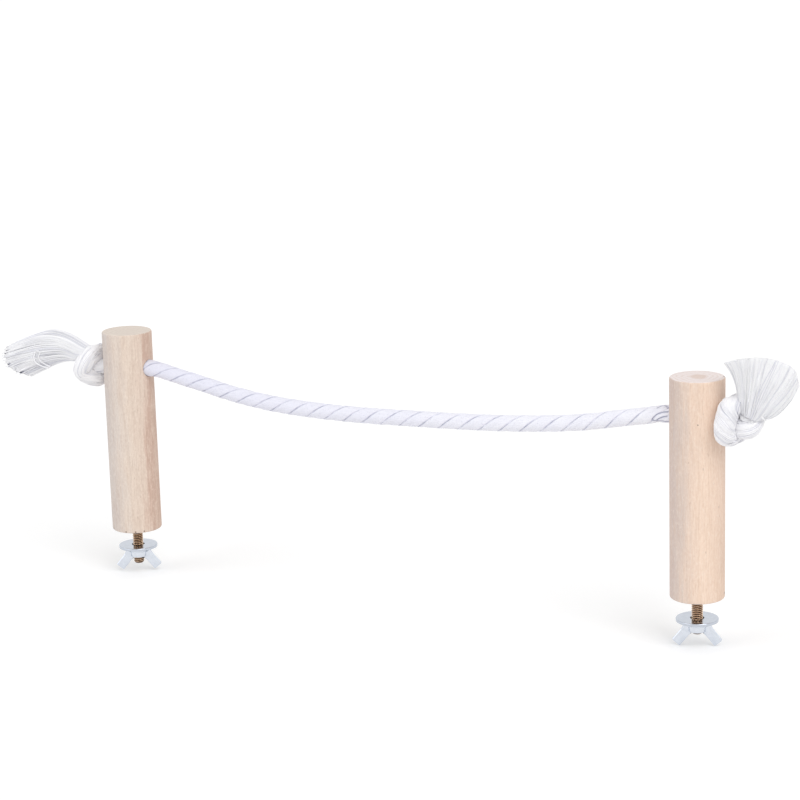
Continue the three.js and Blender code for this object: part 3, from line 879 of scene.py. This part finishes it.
def bump(strength, distance, height):
    return after("ShaderNodeBump", {"Strength": strength, "Distance": distance,
                                    "Height": height}).outputs[0]


def wood(name, centre_x, heart, tones_and_painted_shade, dark, end_pale, end_dark, core_radius, ring_share, nicks):
    """A tone that follows the distance across the post, partly the wood's own colour and partly
    painted shade that darkens both edges of the post as the front sees them, streaked by noise
    drawn out along the grain. Over it go faint rings about a heart line, fibres, pores and small
    dark nicks at given points, and paler end grain on the two ends."""
    material, tree, shader = start_material(name)
    place = wire(tree, "ShaderNodeTexCoord").outputs["Object"]
    post = vectors("SUBTRACT", place, (centre_x * MM, 0, 0))
    centred = vectors("SUBTRACT", post, (heart[0] * MM, heart[1] * MM, 0))
    drift = after("ShaderNodeTexNoise", {"Vector": vectors("MULTIPLY", centred, (1, 1, 0.12)),
                                         "Scale": 95.0, "Detail": 2.0}).outputs["Color"]
    bend = vectors("MULTIPLY", vectors("SUBTRACT", drift, (0.5,) * 3), (0.006,) * 3)
    flat = vectors("MULTIPLY", vectors("ADD", centred, bend), (1, 1, 0))
    radius = vectors("LENGTH", flat)
    wave = maths("SINE", maths("MULTIPLY", radius, 2 * math.pi / (RING_PITCH * MM)))
    ring = maths("POWER", ramp(wave, -1.0, 1.0), 2.6)
    streak = noise(place, 520.0, 4.0, 0.6, (1, 1, 0.06))
    fibre = noise(place, 1900.0, 4.0, 0.65, (1, 1, 0.05))
    grit = noise(place, 1150.0, 3.0, 0.7, (1, 1, 0.45))
    pore = ramp(noise(place, 1250.0, 2.0, drawn=(1, 1, 0.22)), 0.69, 0.76)
    patch = noise(place, 130.0, 3.0, 0.6, (1, 1, 0.3))

    # Painted shade: the tone stops darken both edges of the post as the front sees them, over the
    # wood's own colour.
    across = maths("MULTIPLY", vectors("DOT_PRODUCT", post, ACROSS_POSTS), 1 / (POST_RADIUS * MM))
    shift = maths("ADD", sway(streak, 0.7), sway(patch, 0.7))
    tone_with_painted_shade = after("ShaderNodeValToRGB", {0: ramp(maths("ADD", across, shift), -1.0, 1.0)})
    stops = tone_with_painted_shade.color_ramp.elements
    while len(stops) < len(tones_and_painted_shade):
        stops.new(0.5)
    for stop, (position, tone) in zip(stops, tones_and_painted_shade):
        stop.position = position
        stop.color = srgb(*tone)
    side = overlay(tone_with_painted_shade.outputs[0], ring, ring_share, dark)
    side = overlay(side, ramp(fibre, 0.45, 0.75), 0.42, dark)
    side = overlay(side, ramp(grit, 0.52, 0.72), 0.26, dark)
    side = overlay(side, ramp(grit, 0.48, 0.30), 0.30, srgb(252, 240, 228))
    side = overlay(side, pore, 0.40, srgb(158, 128, 108))

    edge = ramp(radius, core_radius * 0.86 * MM, core_radius * 1.06 * MM)
    end = overlay(end_pale, ring, 0.42, end_dark)
    end = overlay(end, maths("SUBTRACT", 1.0, edge), 0.75, end_dark)
    end = overlay(end, ramp(grit, 0.5, 0.72), 0.4, end_dark)
    middle = POST_HEIGHT / 2
    level = after("ShaderNodeSeparateXYZ", {0: place}).outputs[2]
    from_middle = maths("ABSOLUTE", maths("SUBTRACT", level, middle * MM))
    colour = mix(ramp(from_middle, (middle - 0.45) * MM, (middle - 0.1) * MM), side, end)
    for point, size in nicks:
        gap = vectors("DISTANCE", place, tuple(np.array(point) * MM))
        dot = maths("SUBTRACT", 1.0, ramp(gap, 0.55 * size * MM, size * MM))
        colour = overlay(colour, dot, 0.8, srgb(112, 86, 70))

    rough = maths("MULTIPLY_ADD", ramp(fibre, 0.0, 1.0), 0.22, 0.6)
    relief = maths("ADD", maths("MULTIPLY", fibre, 0.7), maths("MULTIPLY", grit, 0.5))
    relief = maths("SUBTRACT", relief, maths("MULTIPLY", pore, 0.6))
    feed(shader, {"Base Color": colour, "Roughness": rough, "Specular IOR Level": 0.3,
                  "Normal": bump(0.4, 0.00014, relief)})
    return material


def cotton(name, tint, far_tint, shade, valley, lines, slant, line_depth, fleck, soft):
    """Off-white that changes slowly along the cord, dulls in patches, is flecked, and takes painted
    shade where the attribute marks valleys, seams and partings, and painted shadow at dark tips; on
    single yarns the same attribute is their own grey tone. Fine yarn lines come from the UV map, a
    number in each turn that slant by turns in a millimetre, over fuzz from noise, with painted
    shade between them."""
    material, tree, shader = start_material(name)
    uv = wire(tree, "ShaderNodeUVMap", uv_map="Along").outputs[0]
    along, turn, _ = after("ShaderNodeSeparateXYZ", {0: uv}).outputs
    place = wire(tree, "ShaderNodeTexCoord").outputs["Object"]
    count = maths("ADD", maths("MULTIPLY", turn, lines), maths("MULTIPLY", along, slant * lines))
    count = maths("ADD", count, sway(noise(place, 420.0), 0.5))
    line = maths("SINE", maths("MULTIPLY", count, 2 * math.pi))
    line = maths("POWER", ramp(line, -1.0, 1.0), 0.6)
    fuzz = noise(place, 2600.0, 4.0, 0.7)
    dull = ramp(noise(place, 55.0, 2.0), 0.40, 0.75)
    speck = ramp(noise(place, 1500.0, 2.0, 0.6), 0.56, 0.70)
    painted_shade_and_tone = wire(tree, "ShaderNodeAttribute", attribute_name="PaintedShadeAndTone").outputs["Fac"]
    # On the rope the colour runs from the first to the second along the cord: painted shade that
    # darkens the left end, where the key light falls more.
    colour = mix(ramp(along, 0.0, 390.0), tint, far_tint)
    colour = overlay(colour, dull, 0.45, shade)
    # Painted shade between the fine yarn lines.
    colour = overlay(colour, maths("SUBTRACT", 1.0, line), 0.25, shade)
    colour = overlay(colour, speck, fleck, srgb(190, 190, 208))
    # Painted shade from the attribute in valleys, seams and partings, then painted shadow at tips
    # from 1 to 2; on single yarns the attribute is their own grey tone.
    colour = mix(ramp(painted_shade_and_tone, 0.0, 1.0), colour, valley)
    colour = mix(ramp(painted_shade_and_tone, 1.0, 2.0), colour, srgb(70, 72, 84))
    relief = maths("ADD", maths("MULTIPLY", line, line_depth), maths("MULTIPLY", fuzz, 0.35))
    feed(shader, {"Base Color": colour, "Normal": bump(0.5, 0.00014, relief), "Roughness": 0.92,
                  "Specular IOR Level": 0.15, "Sheen Weight": 0.25, "Sheen Roughness": 0.5,
                  "Subsurface Weight": soft, "Subsurface Radius": (1.0, 1.0, 1.0),
                  "Subsurface Scale": 0.0008})
    return material


def plated(name, bright, dull, base_roughness, drag, cloudy, valley):
    """Electroplated metal: cloudy patches between a bright and a dull colour, fine scratches drawn
    out one way, painted shade in the thread valleys, the bores and the bolt's end, roughness that
    follows the patches and scratches, and scratches in relief."""
    material, tree, shader = start_material(name)
    place = wire(tree, "ShaderNodeTexCoord").outputs["Object"]
    cloud = noise(place, 420.0, 3.0)
    scratch = noise(place, 5200.0, 3.0, 0.65, drag)
    painted_shade_and_tone = wire(tree, "ShaderNodeAttribute", attribute_name="PaintedShadeAndTone").outputs["Fac"]
    colour = overlay(bright, ramp(cloud, 0.35, 0.7), cloudy, dull)
    colour = overlay(colour, ramp(scratch, 0.5, 0.75), 0.35, dull)
    # Painted shade where the attribute marks a thread valley, a bore or the bolt's end.
    colour = mix(ramp(painted_shade_and_tone, 0.15, 0.95), colour, valley)
    rough = maths("ADD", maths("MULTIPLY", cloud, 0.10 * cloudy),
                  maths("MULTIPLY_ADD", scratch, 0.10, base_roughness))
    feed(shader, {"Base Color": colour, "Roughness": rough, "Metallic": 1.0,
                  "Normal": bump(0.25, 0.00002, scratch)})
    return material


# Tone stops across each post, from edge to edge as the front sees them: the wood's own colour with
# painted shade that darkens both edges.
WOOD = {
    "left": wood("pale_straight_grained_wood", POST_X["left"], (9.0, 34.0),
                 [(0.0, (211, 202, 197)), (0.22, (222, 210, 201)), (0.50, (231, 214, 199)),
                  (0.76, (230, 210, 194)), (0.83, (222, 197, 181)), (0.90, (203, 172, 155)),
                  (0.95, (220, 196, 180)), (1.0, (206, 178, 161))],
                 srgb(192, 166, 149), srgb(226, 215, 204), srgb(205, 189, 178), 1.0, 0.16,
                 [((-8.2, -11.3, 1.4), 0.5), ((1.6, -13.8, 0.9), 0.6), ((6.9, -12.1, 0.9), 0.6),
                  ((10.7, -9.0, 1.0), 0.6)]),
    "right": wood("peach_toned_wood", POST_X["right"], (0.4, -0.3),
                  [(0.0, (211, 195, 188)), (0.12, (219, 202, 192)), (0.34, (237, 214, 197)),
                   (0.58, (246, 221, 201)), (0.85, (238, 212, 193)), (1.0, (228, 203, 185))],
                  srgb(210, 176, 150), srgb(240, 230, 228), srgb(222, 201, 189), 4.7, 0.10,
                  [((345.2, -13.0, 93.4), 0.4), ((353.8, 2.0, 3.2), 0.8),
                   ((353.2, 4.6, 114.6), 0.8), ((352.6, 4.2, 114.9), 0.7)]),
}
# The fourth colour of each cotton is its painted shade, which on loose yarns is also their own grey
# tone.
# The rope's first colour, at its left end, is darker than its second: painted shade that offsets
# the key light there.
ROPE_COTTON = cotton("laid_cotton", srgb(228, 228, 241), srgb(249, 249, 255), srgb(232, 232, 246),
                     srgb(172, 174, 194), 27.0, -0.030, 0.6, 0.32, 0.2)
KNOT_COTTON = cotton("knotted_cotton", srgb(254, 253, 255), srgb(254, 253, 255),
                     srgb(250, 250, 255), srgb(160, 162, 182), 60.0, 0.0, 0.3, 0.14, 0.3)
YARN_COTTON = cotton("loose_cotton_yarn", srgb(254, 254, 255), srgb(254, 254, 255),
                     srgb(247, 247, 254), srgb(178, 180, 200), 2.0, 0.35, 0.4, 0.15, 0.0)
BUNDLE_COTTON = cotton("packed_cotton_yarns", srgb(254, 254, 255), srgb(254, 254, 255),
                       srgb(250, 250, 255), srgb(134, 136, 156), 240.0, 0.0, 0.3, 0.10, 0.3)
# The last colour of each plate is its painted shade.
BRIGHT_ZINC = plated("bright_zinc_plate", srgb(222, 227, 235), srgb(204, 210, 220), 0.12,
                     (1, 1, 0.3), 0.5, srgb(44, 44, 48))
BRUSHED_ZINC = plated("brushed_zinc_plate", srgb(200, 206, 216), srgb(170, 177, 189), 0.03,
                      (1, 0.04, 1), 0.25, srgb(36, 36, 40))
YELLOW_ZINC = plated("yellow_zinc_plate", srgb(250, 224, 198), srgb(212, 180, 150), 0.16,
                     (1, 1, 0.2), 1.0, srgb(52, 37, 26))

# ---- The stand, piece by piece ----


def dress(piece, material, slot, body, *nodes):
    piece.data.materials.clear()
    piece.data.materials.append(material)
    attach(piece, body)
    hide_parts(*nodes)


rope_piece, rope_line = laid_rope()
dress(rope_piece, ROPE_COTTON, "cotton", "rope", "rope")
on_the_rope = []
for side in SIDES:
    knot_piece, root, stray_piece = knot(side)
    dress(knot_piece, KNOT_COTTON, "cotton", "rope", f"{side}_knot")
    dress(stray_piece, YARN_COTTON, "cotton", "rope", f"{side}_knot")
    bundle_piece = tassel_bundle(side, root)
    dress(bundle_piece, BUNDLE_COTTON, "cotton", "rope", f"{side}_tassel")
    yarn_piece = tassel_yarns(side, root)
    dress(yarn_piece, YARN_COTTON, "cotton", "rope", f"{side}_tassel")
    on_the_rope += [knot_piece, stray_piece, bundle_piece, yarn_piece]

for side in SIDES:
    dress(post(side), WOOD[side], f"{side}_wood", f"{side}_post", f"{side}_post")
    dress(hanger_bolt(side), YELLOW_ZINC, "screw", f"{side}_post", f"{side}_hanger_bolt")
    dress(washer(side), BRUSHED_ZINC, "bright_zinc", f"{side}_washer", f"{side}_washer")
    dress(wing_nut(side), BRIGHT_ZINC, "bright_zinc", f"{side}_wing_nut", f"{side}_wing_nut")


# ---- Floor and light ----

def seen_directly(tree):
    """1 where the light is seen straight, in metal or through glass, and 0 elsewhere."""
    seen = wire(tree, "ShaderNodeLightPath").outputs
    mirrored = maths("ADD", seen["Is Glossy Ray"], seen["Is Transmission Ray"])
    return maths("ADD", seen["Is Camera Ray"], mirrored, clamp=True)


def make_floor():
    """A wide white floor under the lowest wing tip. Seen directly it gives a little light of its
    own, so that it looks white and still keeps the stand's shadow."""
    size, level = 30.0, -0.0263
    mesh = bpy.data.meshes.new("floor")
    mesh.from_pydata([(-size, -size, level), (size, -size, level), (size, size, level),
                      (-size, size, level)], [], [(0, 1, 2, 3)])
    floor = add_object("floor", mesh)
    material, tree, shader = start_material("white_floor")
    tree.nodes.remove(shader)
    paper = wire(tree, "ShaderNodeBsdfDiffuse", {"Color": (0.93, 0.93, 0.93, 1)}).outputs[0]
    glow = after("ShaderNodeEmission", {"Color": (1, 1, 1, 1),
                 "Strength": maths("MULTIPLY", seen_directly(tree), 0.14)}).outputs[0]
    both = after("ShaderNodeAddShader", {0: paper, 1: glow}).outputs[0]
    feed(tree.nodes["Material Output"], {"Surface": both})
    mesh.materials.append(material)


def make_light():
    """A white surround that the camera and the metal see in full and that lights softly, with one
    broad sun from the right of the front and a weaker one from the left."""
    world = bpy.data.worlds.new("surround")
    bpy.context.scene.world = world
    world.use_nodes = True
    tree = world.node_tree
    strength = maths("MULTIPLY_ADD", seen_directly(tree), 0.30, 0.70)
    feed(tree.nodes["Background"], {"Color": (1, 1, 1, 1), "Strength": strength})
    for name, azimuth, elevation, power, spread in (("key", 56, 46, 0.90, 40),
                                                    ("fill", -42, 32, 0.48, 50)):
        sun = bpy.data.lights.new(name, "SUN")
        sun.energy = power
        sun.angle = math.radians(spread)
        a, e = math.radians(azimuth), math.radians(elevation)
        towards = Vector((math.sin(a) * math.cos(e), -math.cos(a) * math.cos(e), math.sin(e)))
        add_object(name, sun).rotation_euler = towards.to_track_quat("Z", "Y").to_euler()


make_floor()
make_light()
bpy.context.scene.view_settings.view_transform = "Standard"
